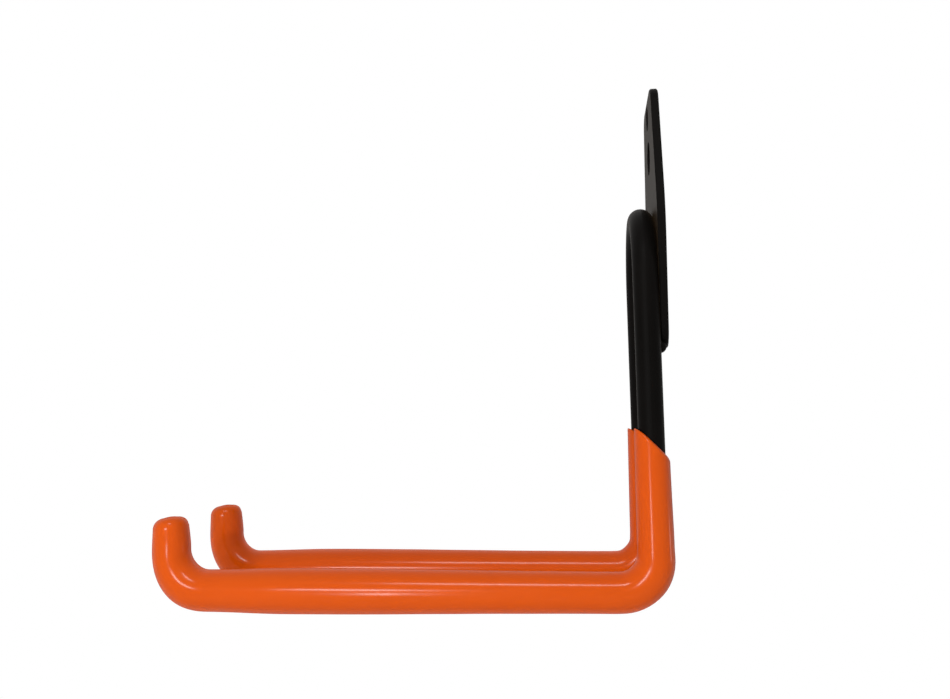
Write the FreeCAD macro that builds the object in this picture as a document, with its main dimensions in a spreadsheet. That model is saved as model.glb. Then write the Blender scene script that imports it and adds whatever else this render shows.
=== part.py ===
import FreeCAD, Part
import math
import os
import Sketcher

# Garage utility hook: one steel rod, bent to a loop, two legs, two arms and two up-turned tips, is welded to
# a steel wall plate, and its arms are dipped in soft PVC.
#
# Frame in millimetres: the wall is the plane Y = 0 and the hook stands out from it towards -Y. +Z is up and
# X = 0 is the plane of symmetry. The origin is where the upper screw hole's axis meets the wall.

DRIVING = {
    # Bent rod: sizes run along its centreline; crown_drop and hook_height start at the loop's outer side
    "rod_diameter": 10.0,
    "leg_spacing": 54.5,
    "crown_drop": 39.9,
    "hook_height": 152.7,
    "arm_reach": 193.6,
    "heel_radius": 12.7,
    "toe_radius": 16.0,
    "tip_rise": 26.6,
    # Wall plate: an outline of six straight sides, whose corners are then rounded. Each side's overhang and
    # inset start at the middle of the leg in front of it.
    "plate_thickness": 3.2,
    "plate_height": 107.2,
    "plate_top_width": 41.0,
    "plate_belly_overhang": 6.5,
    "plate_bottom_inset": 1.0,
    "plate_belly_height": 53.0,
    "plate_belly_radius": 60.0,
    "plate_corner_radius": 8.5,
    "plate_edge_chamfer": 0.5,
    # Screw holes, one above the other
    "upper_hole_diameter": 10.5,
    "upper_hole_margin": 7.2,
    "lower_hole_diameter": 14.0,
    "hole_pitch": 17.4,
    # PVC coat: its thickness on the rod from the slanted rim, round the heel, along the arm and up the tip,
    # and over the rod's end
    "rim_coat": 1.7,
    "heel_coat": 2.15,
    "arm_coat": 2.85,
    "belly_coat": 3.95,
    "toe_coat": 3.3,
    "tip_coat": 2.4,
    "end_coat": 2.2,
    "cap_coat": 2.45,
    "cap_round": 4.0,
    "drip_swell": 0.4,
    "drip_turn_deg": 30.0,
    "belly_setback": 32.0,
    "coat_sag": 0.4,
    "rim_height": 56.2,
    "rim_slant_deg": 45.0,
    "rim_chamfer": 1.0,
    "rim_trim_margin": 3.0,
    # Weld beads: a stitch beside each leg's inner side and a short bead under the plate behind each leg
    "stitch_length": 24.0,
    "stitch_radius": 3.0,
    "stitch_offset": 4.6,
    "stitch_height": 15.5,
    "under_length": 6.4,
    "under_radius": 2.2,
    "under_offset": 3.5,
    "bead_taper": 1.6,
    "bead_end_radius": 1.4,
}

DERIVED = {
    "rod_radius": "rod_diameter / 2",
    "right_x": "leg_spacing / 2",
    "left_x": "-leg_spacing / 2",
    "leg_y": "-(plate_thickness + rod_diameter / 2)",
    "loop_z": "-(crown_drop + rod_diameter / 2 + leg_spacing / 2)",
    "arm_z": "-(crown_drop + hook_height)",
    "leg_length": "loop_z - arm_z",
    # Plate
    "plate_belly_width": "leg_spacing + 2 * plate_belly_overhang",
    "plate_bottom_width": "leg_spacing - 2 * plate_bottom_inset",
    "plate_bottom_drop": "plate_height - upper_hole_margin",
    "plate_bottom_z": "upper_hole_margin - plate_height",
    "plate_belly_z": "plate_bottom_z + plate_belly_height",
    "upper_hole_radius": "upper_hole_diameter / 2",
    "lower_hole_radius": "lower_hole_diameter / 2",
    # Outer radii of the coat, and the places along the rod where it has them
    "rim_radius": "rod_radius + rim_coat",
    "heel_coat_radius": "rod_radius + heel_coat",
    "arm_coat_radius": "rod_radius + arm_coat",
    "belly_coat_radius": "rod_radius + belly_coat",
    "toe_coat_radius": "rod_radius + toe_coat",
    "tip_coat_radius": "rod_radius + tip_coat",
    "end_coat_radius": "rod_radius + end_coat",
    "drip_radius": "toe_coat_radius + drip_swell / 2",
    "drip_shift": "coat_sag + drip_swell / 2",
    "rim_half_rise": "rim_radius * tan(rim_slant_deg * 1 deg)",
    "rim_z": "arm_z + rim_height",
    "coat_top": "rim_height + rim_half_rise + rim_trim_margin",
    "coat_top_z": "arm_z + coat_top",
    "heel_z": "arm_z + heel_radius",
    "sleeve_length": "coat_top - heel_radius",
    "heel_y": "leg_y - heel_radius",
    "sag_z": "arm_z - coat_sag",
    "back_arm_length": "arm_reach - toe_radius - belly_setback - heel_radius",
    "belly_y": "heel_y - back_arm_length",
    "tip_y": "leg_y - arm_reach",
    "toe_y": "tip_y + toe_radius",
    "toe_z": "arm_z + toe_radius",
    "drip_rise": "toe_radius * (1 - cos(drip_turn_deg * 1 deg))",
    "drip_y": "toe_y - toe_radius * sin(drip_turn_deg * 1 deg)",
    "drip_z": "arm_z + drip_rise",
    "finger_length": "tip_rise + cap_coat - toe_radius",
    "cap_z": "toe_z + finger_length",
    "trim_half_width": "rim_radius + rim_trim_margin",
    "trim_half_rise": "trim_half_width * tan(rim_slant_deg * 1 deg)",
    "trim_top": "trim_half_rise + 2 * rim_trim_margin",
    # Welds
    "plate_front_y": "-plate_thickness",
    "right_stitch_x": "right_x - stitch_offset",
    "left_stitch_x": "left_x + stitch_offset",
    "right_under_x": "right_x - under_offset",
    "left_under_x": "left_x + under_offset",
    "stitch_z": "plate_bottom_z + stitch_height",
    "stitch_core": "stitch_length - 2 * bead_taper",
    "under_core": "under_length - 2 * bead_taper",
}

# A section's turn about X: the rod runs down the leg, forward along the arm and up the tip
DOWN = 180.0
FORWARD = 90.0
UP = 0.0

# The bends' places among the edges of a centreline: leg, heel, arm, two parts of the toe, tip
HEEL_EDGE_INDEX = 2
LOWER_TOE_EDGE_INDEX = 4
UPPER_TOE_EDGE_INDEX = 5

# A sketch's own indices, as a constraint takes them: axes, then the points of a line, arc or circle
X_AXIS_INDEX = -1
Y_AXIS_INDEX = -2
START_INDEX = 1
END_INDEX = 2
CENTRE_INDEX = 3
ORIGIN = (X_AXIS_INDEX, START_INDEX)

# The loop's turn, how near two places count as the same place, and how many points of an edge are tried
HALF_TURN_DEG = 180.0
SAME = 1e-4
EDGE_SAMPLE_COUNT = 9

doc = FreeCAD.newDocument("garage_utility_hook")
dims = doc.addObject("Spreadsheet::Sheet", "dims")


def fill_sheet():
    """Driving sizes as plain numbers, then the sizes that follow from them."""
    cells = {alias: str(value) for alias, value in DRIVING.items()}
    cells.update({alias: "=" + formula for alias, formula in DERIVED.items()})
    for row, (alias, content) in enumerate(cells.items(), start=1):
        dims.set(f"A{row}", alias)
        dims.set(f"B{row}", content)
        dims.setAlias(f"B{row}", alias)
    doc.recompute()


def size(alias):
    return float(getattr(dims, alias))


def bind(feature, **sizes):
    for attribute, alias in sizes.items():
        feature.setExpression(attribute, f"dims.{alias}")


def origin_plane(body, role):
    return next(item for item in body.Origin.OriginFeatures if item.Role == role)


def attach(feature, body, role, turn=0.0, **offset):
    """Puts a feature on one of the body's origin planes, turned about X and moved by named sizes x, y, z."""
    feature.AttachmentSupport = [(origin_plane(body, role), "")]
    feature.MapMode = "FlatFace"
    feature.AttachmentOffset = FreeCAD.Placement(
        FreeCAD.Vector(), FreeCAD.Rotation(FreeCAD.Vector(1, 0, 0), turn))
    for axis, alias in offset.items():
        feature.setExpression(f"AttachmentOffset.Base.{axis}", f"dims.{alias}")


def new_sketch(body, name, role, turn=0.0, **offset):
    sketch = body.newObject("Sketcher::SketchObject", name)
    attach(sketch, body, role, turn, **offset)
    return sketch


def dimension(sketch, alias, kind, *references):
    """A dimension of the sketch that follows the named size."""
    index = sketch.addConstraint(Sketcher.Constraint(kind, *references, size(alias)))
    sketch.setExpression(f"Constraints[{index}]", f"dims.{alias}")


def constrain(sketch, kind, *references):
    sketch.addConstraint(Sketcher.Constraint(kind, *references))


def point(x, y):
    return FreeCAD.Vector(x, y, 0)


def add_line(sketch, start, end):
    return sketch.addGeometry(Part.LineSegment(point(*start), point(*end)))


def add_arc(sketch, centre, radius, start_deg, end_deg):
    circle = Part.Circle(point(*centre), FreeCAD.Vector(0, 0, 1), radius)
    return sketch.addGeometry(Part.ArcOfCircle(circle, math.radians(start_deg), math.radians(end_deg)))


def add_polygon(sketch, corners):
    """Closed outline of straight lines; line i runs from corner i to the next."""
    lines = [add_line(sketch, a, b) for a, b in zip(corners, corners[1:] + corners[:1])]
    for line, following in zip(lines, lines[1:] + lines[:1]):
        constrain(sketch, "Coincident", line, END_INDEX, following, START_INDEX)
    return lines


def add_circle(sketch, radius, drop=None):
    """Circle on the sketch's origin, or below it by the named size."""
    depth = size(drop) if drop else 0.0
    circle = sketch.addGeometry(Part.Circle(point(0, -depth), FreeCAD.Vector(0, 0, 1), size(radius)))
    dimension(sketch, radius, "Radius", circle)
    if drop:
        constrain(sketch, "PointOnObject", circle, CENTRE_INDEX, Y_AXIS_INDEX)
        dimension(sketch, drop, "DistanceY", circle, CENTRE_INDEX, *ORIGIN)
    else:
        constrain(sketch, "Coincident", circle, CENTRE_INDEX, *ORIGIN)


def centreline(body, name, side, top, end):
    """Path down a leg, round the heel, along the arm, round the toe and up the tip.

    Its origin is the corner where leg and arm would cross; local x is Y and local y is Z. The toe is two arcs
    that meet where the coat has dripped.
    """
    heel = size("heel_radius")
    toe = size("toe_radius")
    reach = size("arm_reach")
    drip = size("drip_turn_deg")
    sketch = new_sketch(body, name, "YZ_Plane", x="leg_y", y="arm_z", z=side)
    leg = add_line(sketch, (0, size(top)), (0, heel))
    heel_arc = add_arc(sketch, (-heel, heel), heel, 270, 360)
    arm = add_line(sketch, (-heel, 0), (toe - reach, 0))
    lower_toe = add_arc(sketch, (toe - reach, toe), toe, 270 - drip, 270)
    upper_toe = add_arc(sketch, (toe - reach, toe), toe, 180, 270 - drip)
    tip = add_line(sketch, (-reach, toe), (-reach, size(end)))
    constrain(sketch, "Tangent", leg, END_INDEX, heel_arc, END_INDEX)
    constrain(sketch, "Tangent", heel_arc, START_INDEX, arm, START_INDEX)
    constrain(sketch, "Tangent", arm, END_INDEX, lower_toe, END_INDEX)
    constrain(sketch, "Tangent", lower_toe, START_INDEX, upper_toe, END_INDEX)
    constrain(sketch, "Tangent", upper_toe, START_INDEX, tip, START_INDEX)
    constrain(sketch, "PointOnObject", leg, START_INDEX, Y_AXIS_INDEX)
    constrain(sketch, "PointOnObject", arm, START_INDEX, X_AXIS_INDEX)
    constrain(sketch, "Vertical", leg)
    constrain(sketch, "Horizontal", arm)
    constrain(sketch, "Vertical", tip)
    dimension(sketch, "heel_radius", "Radius", heel_arc)
    dimension(sketch, "toe_radius", "Radius", lower_toe)
    dimension(sketch, "toe_radius", "Radius", upper_toe)
    dimension(sketch, "drip_rise", "DistanceY", *ORIGIN, upper_toe, END_INDEX)
    dimension(sketch, "arm_reach", "DistanceX", tip, END_INDEX, *ORIGIN)
    dimension(sketch, top, "DistanceY", *ORIGIN, leg, START_INDEX)
    dimension(sketch, end, "DistanceY", *ORIGIN, tip, END_INDEX)
    return sketch


def edge_names(feature, wanted):
    """Names of the feature's edges that the test accepts, as a fillet takes them."""
    return [f"Edge{i}" for i, edge in enumerate(feature.Shape.Edges, start=1) if wanted(edge)]


def dress_edges(body, kind, name, base, edges, **sizes):
    """A fillet or chamfer on the named edges of the body's last feature."""
    feature = body.newObject(f"PartDesign::{kind}", name)
    feature.Base = (base, edges)
    bind(feature, **sizes)
    doc.recompute()
    return feature


def make_plate():
    """Flat plate, widest behind the loop, with two screw holes above it."""
    body = doc.addObject("PartDesign::Body", "wall_plate")
    half_top, half_belly, half_bottom = (
        size(f"plate_{place}_width") / 2 for place in ("top", "belly", "bottom"))
    top, belly, bottom = (size(alias) for alias in ("upper_hole_margin", "plate_belly_z", "plate_bottom_z"))

    outline = new_sketch(body, "plate_outline", "XZ_Plane")
    corners = [(-half_bottom, bottom), (half_bottom, bottom), (half_belly, belly),
               (half_top, top), (-half_top, top), (-half_belly, belly)]
    lower_edge, lower_right, upper_right, upper_edge, upper_left, lower_left = add_polygon(outline, corners)
    for level in (lower_edge, upper_edge):
        constrain(outline, "Symmetric", level, START_INDEX, level, END_INDEX, Y_AXIS_INDEX)
    constrain(outline, "Symmetric", upper_left, END_INDEX, lower_right, END_INDEX, Y_AXIS_INDEX)
    dimension(outline, "plate_bottom_width", "DistanceX", lower_edge, START_INDEX, lower_edge, END_INDEX)
    dimension(outline, "plate_top_width", "DistanceX", upper_edge, END_INDEX, upper_edge, START_INDEX)
    dimension(outline, "plate_belly_width", "DistanceX", upper_left, END_INDEX, lower_right, END_INDEX)
    dimension(outline, "upper_hole_margin", "DistanceY", *ORIGIN, upper_edge, START_INDEX)
    dimension(outline, "plate_bottom_drop", "DistanceY", lower_edge, START_INDEX, *ORIGIN)
    dimension(outline, "plate_belly_height", "DistanceY", lower_right, START_INDEX, lower_right, END_INDEX)

    blank = body.newObject("PartDesign::Pad", "plate_blank")
    blank.Profile = outline
    bind(blank, Length="plate_thickness")
    doc.recompute()

    def corner_at(x, z):
        return lambda edge: (edge.BoundBox.XLength < SAME
                             and all(math.hypot(abs(v.X) - x, v.Z - z) < SAME for v in edge.Vertexes))

    belly_edges = edge_names(blank, corner_at(half_belly, belly))
    belly_round = dress_edges(
        body, "Fillet", "plate_belly_round", blank, belly_edges, Radius="plate_belly_radius")
    corner_edges = (edge_names(belly_round, corner_at(half_top, top))
                    + edge_names(belly_round, corner_at(half_bottom, bottom)))
    dress_edges(body, "Fillet", "plate_corner_round", belly_round, corner_edges, Radius="plate_corner_radius")

    holes = new_sketch(body, "plate_holes", "XZ_Plane")
    add_circle(holes, "upper_hole_radius")
    add_circle(holes, "lower_hole_radius", drop="hole_pitch")
    drilled = body.newObject("PartDesign::Pocket", "plate_drilled")
    drilled.Profile = holes
    drilled.Type = "ThroughAll"
    drilled.Reversed = True
    doc.recompute()
    check_removes(drilled)

    def on_outline(edge):
        """Edges of the plate's front and back; the closed ones are the hole rims, which stay sharp."""
        depths = [v.Y for v in edge.Vertexes]
        front = all(abs(y + size("plate_thickness")) < SAME for y in depths)
        back = all(abs(y) < SAME for y in depths)
        return (front or back) and not edge.isClosed()

    outline_edges = edge_names(drilled, on_outline)
    dress_edges(body, "Chamfer", "plate_edge_break", drilled, outline_edges, Size="plate_edge_chamfer")
    return body


def make_rod():
    """One leg, arm and tip swept along its path, the loop turned about its centre, and the mirrored leg."""
    body = doc.addObject("PartDesign::Body", "hook_rod")
    path = centreline(body, "rod_path", "right_x", "leg_length", "tip_rise")
    profile = new_sketch(body, "rod_profile", "XY_Plane", y="leg_y", z="loop_z")
    circle = profile.addGeometry(
        Part.Circle(point(size("right_x"), 0), FreeCAD.Vector(0, 0, 1), size("rod_radius")))
    constrain(profile, "PointOnObject", circle, CENTRE_INDEX, X_AXIS_INDEX)
    dimension(profile, "rod_radius", "Radius", circle)
    dimension(profile, "right_x", "DistanceX", *ORIGIN, circle, CENTRE_INDEX)

    limb = body.newObject("PartDesign::AdditivePipe", "rod_limb")
    limb.Profile = profile
    limb.Spine = path
    doc.recompute()

    loop = body.newObject("PartDesign::Revolution", "rod_loop")
    loop.Profile = profile
    loop.ReferenceAxis = (profile, ["V_Axis"])
    loop.Angle = HALF_TURN_DEG
    loop.Reversed = True
    doc.recompute()

    mirrored = body.newObject("PartDesign::Mirrored", "rod_other_limb")
    mirrored.Originals = [limb]
    mirrored.MirrorPlane = (origin_plane(body, "YZ_Plane"), [""])
    body.Tip = mirrored
    return body


def make_coat(name, side):
    """Dip coat of one leg, arm and tip: a tube of changing girth with a closed end and a slanted rim."""
    body = doc.addObject("PartDesign::Body", name)
    stretches = [
        ("sleeve", "leg_y", "heel_z", UP, "heel_coat_radius", "rim_radius", "sleeve_length"),
        ("back_arm", "heel_y", "sag_z", FORWARD, "arm_coat_radius", "belly_coat_radius", "back_arm_length"),
        ("front_arm", "belly_y", "sag_z", FORWARD, "belly_coat_radius", "toe_coat_radius", "belly_setback"),
        ("finger", "tip_y", "toe_z", UP, "tip_coat_radius", "end_coat_radius", "finger_length"),
    ]
    for place, y, z, turn, start_radius, end_radius, length in stretches:
        stretch = body.newObject("PartDesign::AdditiveCone", f"{name}_{place}")
        attach(stretch, body, "XY_Plane", turn, x=side, y=y, z=z)
        bind(stretch, Radius1=start_radius, Radius2=end_radius, Height=length)
    doc.recompute()

    path = centreline(body, f"{name}_path", side, "coat_top", "tip_rise")
    drip_turn = FORWARD - size("drip_turn_deg")
    stations = [
        ("heel", "leg_y", "heel_z", DOWN, "heel_coat_radius", None),
        ("arm", "heel_y", "arm_z", FORWARD, "arm_coat_radius", "coat_sag"),
        ("toe", "toe_y", "arm_z", FORWARD, "toe_coat_radius", "coat_sag"),
        ("drip", "drip_y", "drip_z", drip_turn, "drip_radius", "drip_shift"),
        ("tip", "tip_y", "toe_z", UP, "tip_coat_radius", None),
    ]
    girths = {}
    for place, y, z, turn, radius, drop in stations:
        girths[place] = new_sketch(body, f"{name}_{place}", "XY_Plane", turn, x=side, y=y, z=z)
        add_circle(girths[place], radius, drop)
    bends = [(HEEL_EDGE_INDEX, "heel", "arm"), (LOWER_TOE_EDGE_INDEX, "toe", "drip"),
             (UPPER_TOE_EDGE_INDEX, "drip", "tip")]
    for edge_index, start, end in bends:
        bend = body.newObject("PartDesign::AdditivePipe", f"{name}_{start}_bend")
        bend.Profile = girths[start]
        bend.Spine = (path, [f"Edge{edge_index}"])
        bend.Transformation = "Multisection"
        bend.Sections = [(girths[end], [""])]
        doc.recompute()

    above = new_sketch(body, f"{name}_above_rim", "YZ_Plane", x="leg_y", y="rim_z", z=side)
    half = size("trim_half_width")
    rise = size("trim_half_rise")
    top = size("trim_top")
    corners = [(-half, rise), (half, -rise), (half, top), (-half, top)]
    slant, back, cover, front = add_polygon(above, corners)
    constrain(above, "Vertical", back)
    constrain(above, "Horizontal", cover)
    constrain(above, "Vertical", front)
    constrain(above, "Symmetric", slant, START_INDEX, slant, END_INDEX, *ORIGIN)
    dimension(above, "trim_half_width", "DistanceX", *ORIGIN, slant, END_INDEX)
    dimension(above, "trim_half_rise", "DistanceY", *ORIGIN, slant, START_INDEX)
    dimension(above, "trim_top", "DistanceY", *ORIGIN, cover, START_INDEX)
    trimmed = body.newObject("PartDesign::Pocket", f"{name}_trimmed")
    trimmed.Profile = above
    trimmed.Type = "ThroughAll"
    trimmed.SideType = "Symmetric"
    doc.recompute()
    check_removes(trimmed)

    slope = math.tan(math.radians(size("rim_slant_deg")))

    def on_rim(edge):
        rises = [place.z - size("rim_z") + (place.y - size("leg_y")) * slope
                 for place in edge.discretize(EDGE_SAMPLE_COUNT)]
        return all(abs(rise) < SAME for rise in rises)

    def on_cap(edge):
        return all(abs(v.Z - size("cap_z")) < SAME for v in edge.Vertexes)

    rim_edges = edge_names(trimmed, on_rim)
    rim_break = dress_edges(body, "Chamfer", f"{name}_rim_break", trimmed, rim_edges, Size="rim_chamfer")
    cap_edges = edge_names(rim_break, on_cap)
    dress_edges(body, "Fillet", f"{name}_cap_round", rim_break, cap_edges, Radius="cap_round")

    bore = new_sketch(body, f"{name}_bore", "XY_Plane", DOWN, x=side, y="leg_y", z="coat_top_z")
    add_circle(bore, "rod_radius")
    bored = body.newObject("PartDesign::SubtractivePipe", f"{name}_bored")
    bored.Profile = bore
    bored.Spine = path
    doc.recompute()
    check_removes(bored)
    return body


def make_bead(name, kind, axis, centre, rod, plate):
    """Weld bead: a round bar with tapered ends along an axis, less the plate and rod that it lies against."""
    core = doc.addObject("Part::Cylinder", f"{name}_core")
    bind(core, Radius=f"{kind}_radius", Height=f"{kind}_core")
    core.setExpression("Placement.Base.z", f"-dims.{kind}_core / 2")
    head = doc.addObject("Part::Cone", f"{name}_head")
    bind(head, Radius1=f"{kind}_radius", Radius2="bead_end_radius", Height="bead_taper")
    head.setExpression("Placement.Base.z", f"dims.{kind}_core / 2")
    tail = doc.addObject("Part::Cone", f"{name}_tail")
    bind(tail, Radius1="bead_end_radius", Radius2=f"{kind}_radius", Height="bead_taper")
    tail.setExpression("Placement.Base.z", f"-dims.{kind}_length / 2")
    bead = doc.addObject("Part::MultiFuse", f"{name}_bar")
    bead.Shapes = [core, head, tail]
    bead.Placement.Rotation = FreeCAD.Rotation(FreeCAD.Vector(0, 0, 1), axis)
    for letter, alias in zip("xyz", centre):
        bead.setExpression(f"Placement.Base.{letter}", f"dims.{alias}")
    for step, neighbour in (("on_plate", plate), ("on_rod", rod)):
        cut = doc.addObject("Part::Cut", f"{name}_{step}")
        cut.Base = bead
        cut.Tool = neighbour
        bead = cut
    return bead


def make_welds(rod, plate):
    """A stitch along each leg's inner side and a short bead under the plate's lower corner by each leg."""
    upright = FreeCAD.Vector(0, 0, 1)
    across = FreeCAD.Vector(1, 0, 0)
    beads = []
    for hand in ("right", "left"):
        stitch_centre = (f"{hand}_stitch_x", "plate_front_y", "stitch_z")
        under_centre = (f"{hand}_under_x", "plate_front_y", "plate_bottom_z")
        beads.append(make_bead(f"{hand}_stitch", "stitch", upright, stitch_centre, rod, plate))
        beads.append(make_bead(f"{hand}_under", "under", across, under_centre, rod, plate))
    welds = doc.addObject("Part::Compound", "weld_beads")
    welds.Links = beads
    return welds


def check_removes(cut):
    """A cut that points away from its solid removes nothing and reports no error."""
    if cut.Shape.Volume > cut.BaseFeature.Shape.Volume - SAME:
        raise RuntimeError(f"{cut.Name} removed nothing")


def export(nodes):
    """Writes each sub-part to its own file once every object has built soundly."""
    for item in doc.Objects:
        if {"Invalid", "Error"} & set(item.State):
            raise RuntimeError(f"{item.Name} failed: {item.State}")
    for node, solids in nodes.items():
        shape = node.Shape
        if shape.isNull() or not shape.isValid() or len(shape.Solids) != solids:
            raise RuntimeError(f"{node.Label} is not {solids} sound solid(s)")
    os.makedirs("parts", exist_ok=True)
    for node in nodes:
        node.Shape.exportStep(f"parts/{node.Label}.step")
        print(node.Label, len(node.Shape.Solids), round(node.Shape.Volume, 1))


fill_sheet()
wall_plate = make_plate()
hook_rod = make_rod()
coat_right = make_coat("coat_right", "right_x")
coat_left = make_coat("coat_left", "left_x")
weld_beads = make_welds(hook_rod, wall_plate)
doc.recompute()
export({wall_plate: 1, hook_rod: 1, coat_right: 1, coat_left: 1, weld_beads: len(weld_beads.Links)})
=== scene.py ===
import math

import bpy
from mathutils import Matrix, Vector, noise


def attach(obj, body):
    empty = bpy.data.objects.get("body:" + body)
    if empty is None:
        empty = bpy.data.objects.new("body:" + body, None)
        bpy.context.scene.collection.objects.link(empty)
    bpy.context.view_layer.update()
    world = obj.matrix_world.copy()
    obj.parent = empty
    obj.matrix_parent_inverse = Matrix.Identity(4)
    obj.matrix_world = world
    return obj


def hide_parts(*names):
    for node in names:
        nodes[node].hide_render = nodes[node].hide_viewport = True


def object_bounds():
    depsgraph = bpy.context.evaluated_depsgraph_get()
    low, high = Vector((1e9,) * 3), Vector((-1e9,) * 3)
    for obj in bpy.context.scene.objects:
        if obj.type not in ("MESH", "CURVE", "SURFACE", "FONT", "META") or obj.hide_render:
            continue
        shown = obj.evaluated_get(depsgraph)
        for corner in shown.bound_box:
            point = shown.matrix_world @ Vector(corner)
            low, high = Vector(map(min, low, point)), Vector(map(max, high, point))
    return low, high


# Looks of a garage utility hook: black powder-coated steel, with arms dipped in glossy orange PVC.
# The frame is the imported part's: the wall at Y = 0, +Z up, X = 0 between the legs. Shapes are worked out in
# millimetres and scaled to metres as their meshes are made. Floor, lamps and camera are in metres.

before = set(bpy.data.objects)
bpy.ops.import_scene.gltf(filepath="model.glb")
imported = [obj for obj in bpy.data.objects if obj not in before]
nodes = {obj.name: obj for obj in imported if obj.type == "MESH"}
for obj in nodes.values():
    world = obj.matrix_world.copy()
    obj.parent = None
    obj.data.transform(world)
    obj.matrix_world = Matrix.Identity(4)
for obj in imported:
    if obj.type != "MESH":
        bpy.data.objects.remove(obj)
cad_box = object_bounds()
MM = 0.001
QUARTER_TURN = math.pi / 2

# The bent rod and the coat on it, as in the part's source
ROD_RADIUS = 5.0
LEG_X = 27.25
LEG_Y = -8.2
ARM_Z = -192.6
ARM_REACH = 193.6
HEEL_RADIUS = 12.7
TOE_RADIUS = 16.0
RIM_HEIGHT = 56.2
CAP_HEIGHT = 29.05
CAP_ROUND = 4.0
BELLY_SETBACK = 32.0
DRIP_TURN = math.radians(30)

# Lengths along one limb's line, from the height of the coat's rim to the coat's end
LEG_RUN = RIM_HEIGHT - HEEL_RADIUS
ARM_START = LEG_RUN + HEEL_RADIUS * QUARTER_TURN
ARM_RUN = ARM_REACH - HEEL_RADIUS - TOE_RADIUS
TOE_START = ARM_START + ARM_RUN
TIP_START = TOE_START + TOE_RADIUS * QUARTER_TURN
CAP_RUN = TIP_START + CAP_HEIGHT - TOE_RADIUS

# Where the coat changes along the limb: the run, the thickness there, and how far the coat hangs off the
# rod's middle towards the outside of the bends. Liquid PVC gathers inside the heel, so it is thicker there.
HEEL_SPREAD = 4.0  # how far past the heel's bend that reaches
COAT_STATIONS = [
    (0.0, 1.7, 0.0),  # rim
    (LEG_RUN - HEEL_SPREAD, 2.1, 0.0),  # foot of the leg
    ((LEG_RUN + ARM_START) / 2, 2.85, -0.15),  # middle of the heel
    (ARM_START + HEEL_SPREAD, 2.85, 0.4),  # start of the arm
    (TOE_START - BELLY_SETBACK, 3.95, 0.4),  # belly
    (TOE_START, 3.3, 0.4),  # end of the arm
    (TOE_START + TOE_RADIUS * DRIP_TURN, 3.5, 0.6),  # drip under the toe
    (TIP_START, 2.6, -0.2),  # foot of the tip
    (CAP_RUN, 1.9, 0.3),  # closed end
]

# The coat's mesh, its rim, its closed end and the slow waves in its skin
COAT_SIDES = 72
RING_SPACING = 1.4
ROUND_STEPS = 8
RIM_LEAN = 1.0  # slope of the rim across the rod
RIM_ROUND = 1.35
RIM_TUCK = 3.0  # how far the skin goes down between rim and rod
RIM_BLUNT = 0.13  # share of the slope that is lost at the rim's peak
BLUNT_FALLOFF = 4
CAP_LEAN = 0.09  # slope of the closed end
CAP_CROWN = 0.35  # rise of the closed end's middle
CAP_RING_SHARES = (0.7, 0.4, 0.1)
WAVE_DEPTH = 0.05
WAVE_LENGTH = 17.0

# Weld beads, with the places, lengths and radii of the part's source; a moving weld pool leaves the ripples
PLATE_FRONT_Y = -3.2
PLATE_BOTTOM_Z = -100.0
STITCH_X = LEG_X - 4.6
STITCH_Z = PLATE_BOTTOM_Z + 15.5
STITCH_LENGTH = 24.0
STITCH_RADIUS = 3.0
UNDER_X = LEG_X - 3.5
UNDER_LENGTH = 6.4
UNDER_RADIUS = 2.2
BEAD_TAPER = 1.6
BEAD_END_SHARE = 0.5
BEAD_SIDES = 24
BEAD_RING_SPACING = 0.2
RIPPLE_PITCH = 1.7
RIPPLE_DEPTH = 0.22

# Patterns of the two finishes, and how their gloss changes from a straight to a glancing look
PEEL_WIDTH = 1.5  # the dimples that powder leaves as it melts and flows
PEEL_DEPTH = 0.1
CLOUD_WIDTH = 24.0  # slow drift in the thickness of the powder
DIP_RIPPLE_WIDTH = 9.0  # about half the coated arm's width
DIP_RIPPLE_DEPTH = 0.3
BUMP_STRENGTH = 0.1
GLANCE_FROM = 0.55  # 0 is a face turned to the eye, 1 is one seen edge on
POWDER_EDGE_ROUGHNESS = 0.62
PVC_EDGE_ROUGHNESS = 1.0
POWDER_SPECULAR = 0.02
PVC_SPECULAR = 0.11


def linear(hex_colour):
    """An sRGB hex colour as linear red, green, blue and full alpha."""
    channels = (int(hex_colour[i:i + 2], 16) / 255 for i in (1, 3, 5))
    return [c / 12.92 if c <= 0.04045 else ((c + 0.055) / 1.055) ** 2.4 for c in channels] + [1.0]


def add_node(owner, kind, links=None, **settings):
    """Adds a node; links maps its inputs to outputs of other nodes, settings are attributes or inputs."""
    node = owner.node_tree.nodes.new(kind)
    for name, value in settings.items():
        if hasattr(node, name):
            setattr(node, name, value)
        else:
            node.inputs[name.replace("_", " ")].default_value = value
    for name, output in (links or {}).items():
        owner.node_tree.links.new(output, node.inputs[name])
    return node


def new_material(name):
    material = bpy.data.materials.new(name)
    material.use_nodes = True
    material.node_tree.nodes.clear()
    return material


def at_a_glance(material, facing_value, edge_value):
    """A value that changes where a face turns from the eye until it is seen edge on."""
    glance = add_node(material, "ShaderNodeLayerWeight")
    return add_node(
        material, "ShaderNodeMapRange", {"Value": glance.outputs["Facing"]},
        From_Min=GLANCE_FROM, To_Min=facing_value, To_Max=edge_value).outputs["Result"]


def hazed(material, gloss, edge_roughness):
    """A coat's roughness, raised at a glancing look, where the fine unevenness of the skin scatters light."""
    haze = at_a_glance(material, 0.0, edge_roughness)
    return add_node(material, "ShaderNodeMath", {0: gloss, 1: haze}, operation="MAXIMUM").outputs[0]


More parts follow.
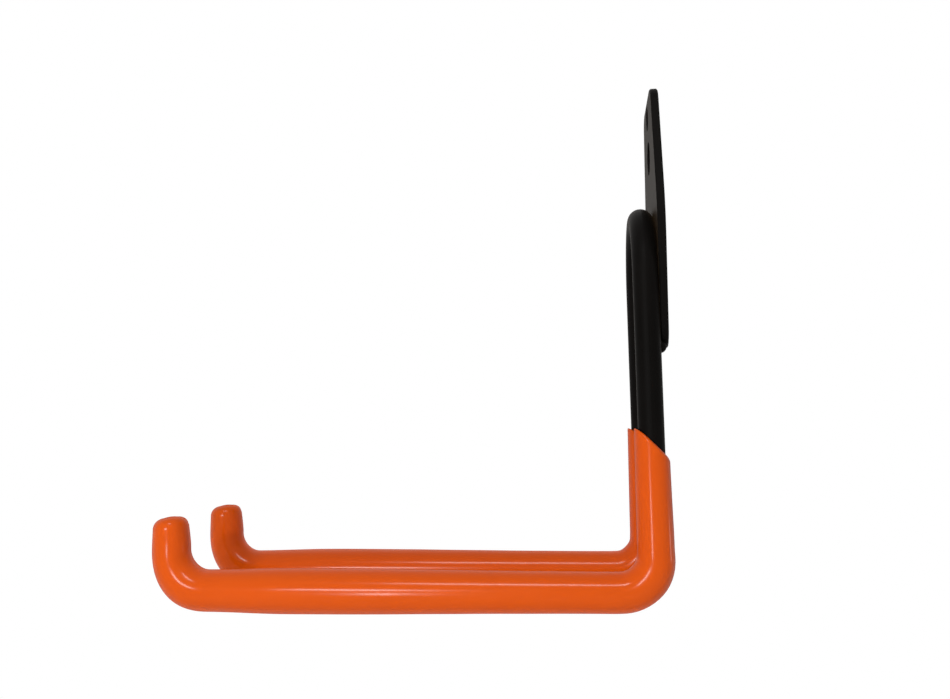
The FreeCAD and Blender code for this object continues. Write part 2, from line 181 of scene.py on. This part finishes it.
def powder_coat():
    """Black polyester powder coat, baked on steel: near-black satin with a fine orange-peel skin.

    A faint brown sheen stands for the dusty haze that such a coat shows at a glancing look. In an all-white
    room a typical specular level would turn the black grey, so it is matched down to the object's own black.
    """
    material = new_material("black_powder_coat")
    place = add_node(material, "ShaderNodeTexCoord").outputs["Object"]
    peel = add_node(
        material, "ShaderNodeTexNoise", {"Vector": place}, Scale=1 / (PEEL_WIDTH * MM), Detail=2.0)
    bump = add_node(
        material, "ShaderNodeBump", {"Height": peel.outputs["Fac"]},
        Strength=BUMP_STRENGTH, Distance=PEEL_DEPTH * MM)
    cloud = add_node(
        material, "ShaderNodeTexNoise", {"Vector": place}, Scale=1 / (CLOUD_WIDTH * MM), Detail=3.0)
    gloss = add_node(
        material, "ShaderNodeMapRange", {"Value": cloud.outputs["Fac"]}, To_Min=0.4, To_Max=0.52)
    shade = add_node(material, "ShaderNodeValToRGB", {"Fac": cloud.outputs["Fac"]})
    shade.color_ramp.elements[0].color = linear("#090807")
    shade.color_ramp.elements[1].color = linear("#110f0e")
    roughness = hazed(material, gloss.outputs["Result"], POWDER_EDGE_ROUGHNESS)
    shader = add_node(
        material, "ShaderNodeBsdfPrincipled",
        {"Base Color": shade.outputs["Color"], "Roughness": roughness, "Normal": bump.outputs["Normal"]},
        Specular_IOR_Level=POWDER_SPECULAR, Sheen_Weight=0.035, Sheen_Roughness=0.3,
        Sheen_Tint=linear("#b89468"))
    add_node(material, "ShaderNodeOutputMaterial", {"Surface": shader.outputs["BSDF"]})
    return material


def dip_coat():
    """Orange PVC plastisol, dipped and cured: smooth, even and glossy, with a slow ripple in the skin.

    The specular level is matched down as on the powder coat, and fades towards the edges, so that the lamps
    draw narrow bright lines along the arms and the white room doesn't wash the orange out.
    """
    material = new_material("orange_pvc")
    place = add_node(material, "ShaderNodeTexCoord").outputs["Object"]
    ripple = add_node(
        material, "ShaderNodeTexNoise", {"Vector": place}, Scale=1 / (DIP_RIPPLE_WIDTH * MM), Detail=2.0)
    bump = add_node(
        material, "ShaderNodeBump", {"Height": ripple.outputs["Fac"]},
        Strength=BUMP_STRENGTH, Distance=DIP_RIPPLE_DEPTH * MM)
    shade = add_node(material, "ShaderNodeValToRGB", {"Fac": ripple.outputs["Fac"]})
    shade.color_ramp.elements[0].color = linear("#d24f07")
    shade.color_ramp.elements[1].color = linear("#d6530a")
    gloss = add_node(
        material, "ShaderNodeMapRange", {"Value": ripple.outputs["Fac"]}, To_Min=0.15, To_Max=0.21)
    roughness = hazed(material, gloss.outputs["Result"], PVC_EDGE_ROUGHNESS)
    shader = add_node(
        material, "ShaderNodeBsdfPrincipled",
        {"Base Color": shade.outputs["Color"], "Roughness": roughness,
         "Specular IOR Level": at_a_glance(material, PVC_SPECULAR, 0.0), "Normal": bump.outputs["Normal"]},
        IOR=1.53)
    add_node(material, "ShaderNodeOutputMaterial", {"Surface": shader.outputs["BSDF"]})
    return material


def paint(piece, material):
    piece.data.materials.clear()
    piece.data.materials.append(material)


def skin(name, rings_by_tube):
    """One smooth mesh of closed tubes, each a list of rings of points in millimetres, capped at both ends."""
    points = []
    faces = []
    for rings in rings_by_tube:
        sides = len(rings[0])
        first = len(points)
        for ring in rings:
            points.extend(Vector(point) * MM for point in ring)
        for low in range(first, first + sides * (len(rings) - 1), sides):
            for side in range(sides):
                following = (side + 1) % sides
                faces.append((low + side, low + following, low + sides + following, low + sides + side))
        faces.append(tuple(reversed(range(first, first + sides))))
        faces.append(tuple(range(len(points) - sides, len(points))))
    mesh = bpy.data.meshes.new(name)
    mesh.from_pydata(points, [], faces)
    mesh.shade_smooth()
    piece = bpy.data.objects.new(name, mesh)
    bpy.context.scene.collection.objects.link(piece)
    return piece


def between(low, value, high):
    return min(max(value, low), high)


def limb_place(run):
    """Y and Z of the rod's middle at a run along the limb, and its turn.

    The turn is 0 on the way down, a quarter on the way forward and a half on the way up.
    """
    heel_turn = between(0, (run - LEG_RUN) / HEEL_RADIUS, QUARTER_TURN)
    toe_turn = between(0, (run - TOE_START) / TOE_RADIUS, QUARTER_TURN)
    down = min(run, LEG_RUN)
    forward = between(0, run - ARM_START, ARM_RUN)
    up = max(0, run - TIP_START)
    y = LEG_Y - HEEL_RADIUS * (1 - math.cos(heel_turn)) - forward - TOE_RADIUS * math.sin(toe_turn)
    z = (ARM_Z + RIM_HEIGHT - down - HEEL_RADIUS * math.sin(heel_turn)
         + TOE_RADIUS * (1 - math.cos(toe_turn)) + up)
    return y, z, heel_turn + toe_turn


def coat_girth(run):
    """The coat's outer radius and hang at a run along the limb, eased from station to station."""
    for (start, coat, hang), (end, next_coat, next_hang) in zip(COAT_STATIONS, COAT_STATIONS[1:]):
        if run <= end:
            break
    share = between(0, (run - start) / (end - start), 1)
    eased = share * share * (3 - 2 * share)
    return ROD_RADIUS + coat + (next_coat - coat) * eased, hang + (next_hang - hang) * eased


def coat_ring(x, y, z, turn, radius, hang=0.0, lean=0.0):
    """A ring about the rod; lean lowers its outer side and lifts its inner side, as at the slanted rim.

    The lifted side is blunted at its top, where the dipped skin draws back a little.
    """
    middle = Vector((x, y + hang * math.cos(turn), z - hang * math.sin(turn)))
    ring = []
    for side in range(COAT_SIDES):
        angle = 2 * math.pi * side / COAT_SIDES
        outward = math.cos(angle)
        lift = -outward - RIM_BLUNT * max(0, -outward) ** BLUNT_FALLOFF
        across = Vector((math.sin(angle), outward * math.cos(turn), -outward * math.sin(turn)))
        wave = 1 + noise.noise((middle + radius * across) / WAVE_LENGTH)
        point = middle + (radius - WAVE_DEPTH * wave) * across
        ring.append(point + Vector((0, 0, lean * radius * lift)))
    return ring


def coat_skin(name, x):
    """The dipped skin of one limb: a rounded slanted rim, a tube of changing girth and a round closed end."""
    rim_radius, _ = coat_girth(0)
    rim_z = ARM_Z + RIM_HEIGHT
    rings = [coat_ring(x, LEG_Y, rim_z - RIM_TUCK, 0, ROD_RADIUS, lean=RIM_LEAN),
             coat_ring(x, LEG_Y, rim_z, 0, ROD_RADIUS, lean=RIM_LEAN)]
    for step in range(ROUND_STEPS + 1):
        turn = QUARTER_TURN * (1 - step / ROUND_STEPS)
        radius = rim_radius - RIM_ROUND * (1 - math.cos(turn))
        rings.append(coat_ring(x, LEG_Y, rim_z - RIM_ROUND * (1 - math.sin(turn)), 0, radius, lean=RIM_LEAN))

    body_start = RIM_ROUND
    body_end = CAP_RUN - CAP_ROUND
    count = math.ceil((body_end - body_start) / RING_SPACING)
    for step in range(1, count + 1):
        run = body_start + (body_end - body_start) * step / count
        radius, hang = coat_girth(run)
        rim_lean = RIM_LEAN * max(0, 1 - run / LEG_RUN)
        cap_lean = CAP_LEAN * max(0, run - TIP_START) / (CAP_RUN - TIP_START)
        rings.append(coat_ring(x, *limb_place(run), radius, hang, rim_lean + cap_lean))

    y, cap_z, turn_up = limb_place(CAP_RUN)
    end_radius, end_hang = coat_girth(CAP_RUN)
    flat_radius = end_radius - CAP_ROUND
    for step in range(1, ROUND_STEPS + 1):
        turn = QUARTER_TURN * step / ROUND_STEPS
        z = cap_z - CAP_CROWN - (CAP_ROUND - CAP_CROWN) * (1 - math.sin(turn))
        radius = flat_radius + CAP_ROUND * math.cos(turn)
        rings.append(coat_ring(x, y, z, turn_up, radius, end_hang, CAP_LEAN))
    for share in CAP_RING_SHARES:
        z = cap_z - CAP_CROWN * share * share
        rings.append(coat_ring(x, y, z, turn_up, flat_radius * share, end_hang, CAP_LEAN))
    return skin(name, [rings])


def weld_bead(centre, along, length, radius):
    """Rings of one bead: a bar along an axis with scalloped sides and tapered ends."""
    across = Vector((0, 1, 0))
    upright = along.cross(across)
    count = round(length / BEAD_RING_SPACING)
    rings = []
    for step in range(count + 1):
        place = length * (step / count - 0.5)
        into_taper = max(0, abs(place) - length / 2 + BEAD_TAPER) / BEAD_TAPER
        scallop = abs(math.sin(math.pi * place / RIPPLE_PITCH))
        girth = radius * (1 - (1 - BEAD_END_SHARE) * into_taper ** 2) - RIPPLE_DEPTH * (1 - scallop)
        rings.append([
            centre + place * along + girth * (math.cos(angle) * across + math.sin(angle) * upright)
            for angle in (2 * math.pi * side / BEAD_SIDES for side in range(BEAD_SIDES))])
    return rings


def weld_skin():
    """A stitch along each leg's inner side and a short bead under the plate by each leg."""
    beads = []
    for side in (1, -1):
        stitch_centre = Vector((side * STITCH_X, PLATE_FRONT_Y, STITCH_Z))
        under_centre = Vector((side * UNDER_X, PLATE_FRONT_Y, PLATE_BOTTOM_Z))
        beads.append(weld_bead(stitch_centre, Vector((0, 0, 1)), STITCH_LENGTH, STITCH_RADIUS))
        beads.append(weld_bead(under_centre, Vector((1, 0, 0)), UNDER_LENGTH, UNDER_RADIUS))
    return skin("weld_ripples", beads)


# The studio, in metres: a dim white room, and a floor that stays pale near the shadow and fades to white
WORLD_FILL = 0.18
FLOOR_Y = -0.1
FLOOR_DROP = 0.16
FLOOR_SIZE = 6.0
SHADOW_REACH = 0.2
WHITE_FROM = 0.38
PALE_SHARE = 0.5


def seen_rays(owner):
    """1 for rays that show the background: straight to the camera, by reflection or through glass."""
    rays = add_node(owner, "ShaderNodeLightPath").outputs
    direct = add_node(
        owner, "ShaderNodeMath", {0: rays["Is Camera Ray"], 1: rays["Is Glossy Ray"]}, operation="MAXIMUM")
    return add_node(
        owner, "ShaderNodeMath", {0: direct.outputs[0], 1: rays["Is Transmission Ray"]},
        operation="MAXIMUM").outputs[0]


def pale_floor():
    """Matt off-white floor paint that keeps the shadow; away from it, it fades into the white background."""
    material = new_material("pale_floor")
    matt = add_node(material, "ShaderNodeBsdfPrincipled", Base_Color=linear("#f2f2f0"), Roughness=0.9)
    glow = add_node(material, "ShaderNodeEmission", Color=linear("#ffffff"), Strength=1.0)
    place = add_node(material, "ShaderNodeTexCoord").outputs["Object"]
    distance = add_node(material, "ShaderNodeVectorMath", {0: place}, operation="LENGTH")
    fade = add_node(
        material, "ShaderNodeMapRange", {"Value": distance.outputs["Value"]},
        From_Min=SHADOW_REACH, From_Max=WHITE_FROM, To_Min=PALE_SHARE)
    share = add_node(
        material, "ShaderNodeMath", {0: fade.outputs["Result"], 1: seen_rays(material)}, operation="MULTIPLY")
    blend = add_node(
        material, "ShaderNodeMixShader", {0: share.outputs[0], 1: matt.outputs[0], 2: glow.outputs[0]})
    add_node(material, "ShaderNodeOutputMaterial", {"Surface": blend.outputs[0]})
    return material


def studio():
    """A white world that lights the hook only dimly, and the floor well below it."""
    scene = bpy.context.scene
    scene.view_settings.view_transform = "Standard"
    world = bpy.data.worlds.new("studio")
    scene.world = world
    world.use_nodes = True
    world.node_tree.nodes.clear()
    white = linear("#ffffff")
    fill = add_node(world, "ShaderNodeBackground", Color=white, Strength=WORLD_FILL)
    shown = add_node(world, "ShaderNodeBackground", Color=white, Strength=1.0)
    mix = add_node(
        world, "ShaderNodeMixShader", {0: seen_rays(world), 1: fill.outputs[0], 2: shown.outputs[0]})
    add_node(world, "ShaderNodeOutputWorld", {"Surface": mix.outputs[0]})

    bpy.ops.mesh.primitive_plane_add(size=FLOOR_SIZE, location=(0, FLOOR_Y, cad_box[0][2] - FLOOR_DROP))
    floor = bpy.context.object
    floor.name = "floor"
    paint(floor, pale_floor())


HOOK_MIDDLE = (0, -0.1, -0.15)
LOWER_LEG = (0.027, -0.008, -0.17)


def lamp(name, place, width, height, power, target=HOOK_MIDDLE, mirrored=True):
    """A rectangular lamp that faces its target; one that isn't mirrored lights without a glint of its own."""
    data = bpy.data.lights.new(name, "AREA")
    data.shape = "RECTANGLE"
    data.size = width
    data.size_y = height
    data.energy = power
    lamp_object = bpy.data.objects.new(name, data)
    bpy.context.scene.collection.objects.link(lamp_object)
    lamp_object.visible_glossy = mirrored
    lamp_object.location = place
    lamp_object.rotation_euler = (Vector(target) - Vector(place)).to_track_quat("-Z", "Y").to_euler()


def lamps():
    """Two long strips draw the bright lines along the arms, and a short upright one those on leg and tip.

    A small lamp behind puts a glint on the lower leg, and a broad one lights the far side.
    """
    lamp("high_strip", place=(0.567, -0.12, 0.44), width=0.3, height=0.03, power=2.6)
    lamp("low_strip", place=(1.0, -0.375, 0.08), width=0.21, height=0.04, power=3.3)
    lamp("side_strip", place=(0.567, -0.23, -0.225), width=0.04, height=0.1, power=0.65)
    lamp("back_glint", place=(-0.04, 0.49, -0.23), width=0.02, height=0.03, power=0.07, target=LOWER_LEG)
    lamp("far_soft", place=(-1.0, 0.1, 0.5), width=0.6, height=0.6, power=6.0, mirrored=False)


# The photo's camera, found by fitting the bent rod: place, heading, tilt, roll and focal length
CAMERA_PLACE = Vector((0.36615, -0.03153, -0.13042))
CAMERA_YAW = -0.1294
CAMERA_PITCH = 0.0918
CAMERA_ROLL = -0.0191
CLIP_START = 0.01
PHOTO_WIDTH_PX = 950
FOCAL_PX = 865.9
SENSOR_WIDTH_MM = 36.0


def photo_camera():
    """A camera that sees the hook from the photo's angle."""
    forward = Vector((
        -math.cos(CAMERA_YAW) * math.cos(CAMERA_PITCH),
        math.sin(CAMERA_YAW) * math.cos(CAMERA_PITCH),
        math.sin(CAMERA_PITCH)))
    level_right = forward.cross(Vector((0, 0, 1))).normalized()
    level_up = level_right.cross(forward)
    right = math.cos(CAMERA_ROLL) * level_right + math.sin(CAMERA_ROLL) * level_up
    up = math.cos(CAMERA_ROLL) * level_up - math.sin(CAMERA_ROLL) * level_right
    data = bpy.data.cameras.new("camera")
    data.sensor_width = SENSOR_WIDTH_MM
    data.lens = FOCAL_PX / PHOTO_WIDTH_PX * SENSOR_WIDTH_MM
    data.clip_start = CLIP_START
    camera = bpy.data.objects.new("camera", data)
    bpy.context.scene.collection.objects.link(camera)
    turned = Matrix((right, up, -forward)).transposed().to_4x4()
    camera.matrix_world = Matrix.Translation(CAMERA_PLACE) @ turned
    bpy.context.scene.camera = camera


steel_paint = powder_coat()
orange = dip_coat()
for name in ("hook_rod", "wall_plate"):
    paint(nodes[name], steel_paint)
dressed = [
    (coat_skin("coat_right_skin", LEG_X), "coat_right", orange, "orange_pvc"),
    (coat_skin("coat_left_skin", -LEG_X), "coat_left", orange, "orange_pvc"),
    (weld_skin(), "weld_beads", steel_paint, "black_powder_coat"),
]
for piece, node, material, slot in dressed:
    paint(piece, material)
    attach(piece, "root")
    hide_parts(node)

studio()
lamps()
photo_camera()
